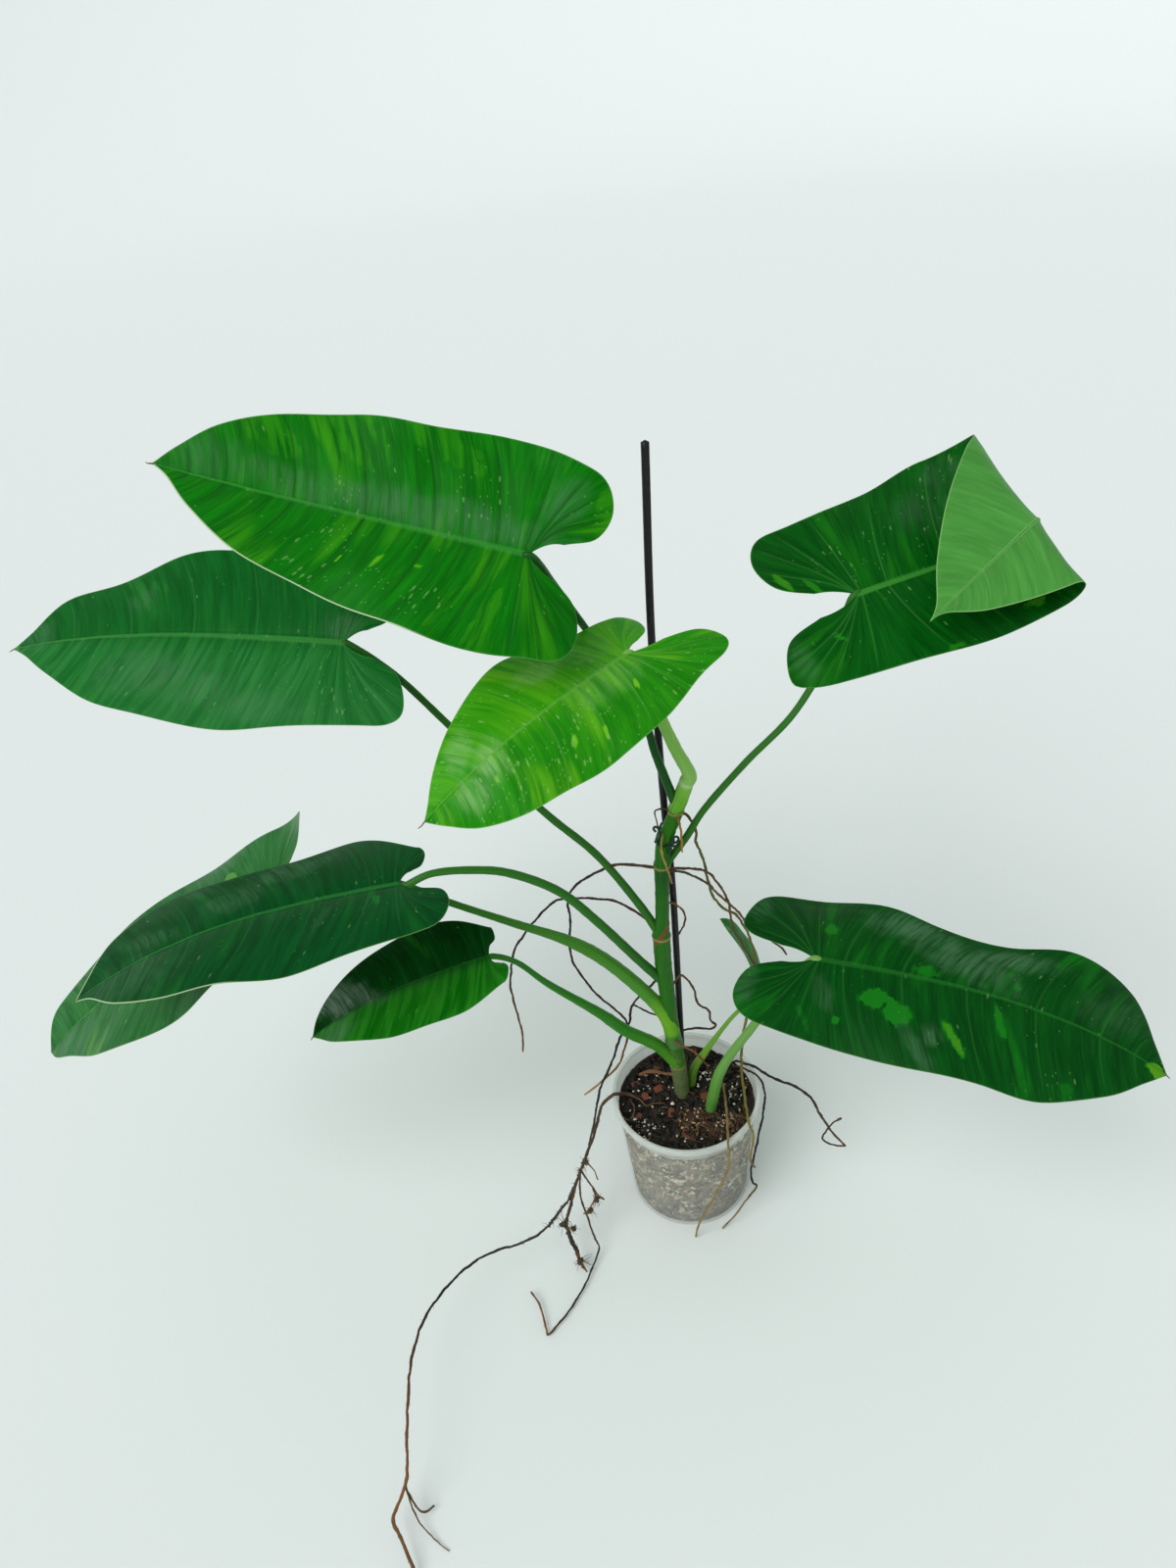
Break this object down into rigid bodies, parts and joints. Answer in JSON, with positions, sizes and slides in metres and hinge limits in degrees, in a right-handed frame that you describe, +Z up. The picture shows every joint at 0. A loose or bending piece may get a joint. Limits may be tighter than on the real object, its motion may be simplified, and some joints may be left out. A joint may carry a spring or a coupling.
{
  "type": "potted philodendron",
  "caption": "Potted climbing philodendron with long heart-based arrow-shaped leaves on arching stalks, trailing aerial roots, a thin support stake and a clear tapered nursery pot.",
  "frame": {"origin": "middle of the underside of the pot, on the surface the pot stands on", "axes": "+Z up along the pot's axis; -Y is the front, the side the leaves face and the picture was taken from; +X is to the right seen from the front"},
  "size_m": [0.7737, 0.4365, 0.672],
  "materials": {
    "pot_plastic": "clear, slightly milky thin nursery pot plastic, smooth gloss",
    "potting_soil": "loose dark potting mix of bark, coir and white perlite, matte",
    "stem_green": "smooth mid-green plant stem with tan leaf-scar rings, satin",
    "stake_plastic": "black plastic-coated stake, slightly rough",
    "tie_plastic": "dark green plastic-covered wire, satin",
    "leaf_green": "deep green waxy leaf with lighter midrib, veins and yellow-green flecks, satin gloss",
    "young_leaf": "bright yellow-green young waxy leaf with pale flecks, gloss",
    "stalk_green": "smooth mid-green leaf stalk with pale specks, satin",
    "root_brown": "dry brown to tan aerial root, matte"
  },
  "bodies": {
    "root": {"pot": "pot_plastic", "soil": "potting_soil", "stem": "stem_green", "stake": "stake_plastic", "plant_tie": "tie_plastic", "leaf_1_blade": "leaf_green", "leaf_1_petiole": "stalk_green", "leaf_2_blade": "leaf_green", "leaf_2_petiole": "stalk_green", "leaf_3_blade": "leaf_green", "leaf_3_petiole": "stalk_green", "leaf_4_blade": "leaf_green", "leaf_4_petiole": "stalk_green", "leaf_5_blade": "leaf_green", "leaf_5_petiole": "stalk_green", "leaf_6_blade": "leaf_green", "leaf_6_petiole": "stalk_green", "leaf_7_blade": "leaf_green", "leaf_7_petiole": "stalk_green", "leaf_8_blade": "leaf_green", "leaf_8_petiole": "stalk_green", "leaf_9_blade": "young_leaf", "leaf_9_petiole": "stalk_green", "root_left_long": "root_brown", "root_left_hanging": "root_brown", "root_right_inner": "root_brown", "root_right_long": "root_brown", "root_loop_upper": "root_brown", "root_loop_lower": "root_brown", "root_stem_front": "root_brown", "root_left_falling": "root_brown", "root_trailing": "root_brown", "root_right_free": "root_brown", "root_front": "root_brown", "root_right_dark": "root_brown", "root_short_upper": "root_brown", "root_short_lower": "root_brown"}
  },
  "joints": []
}
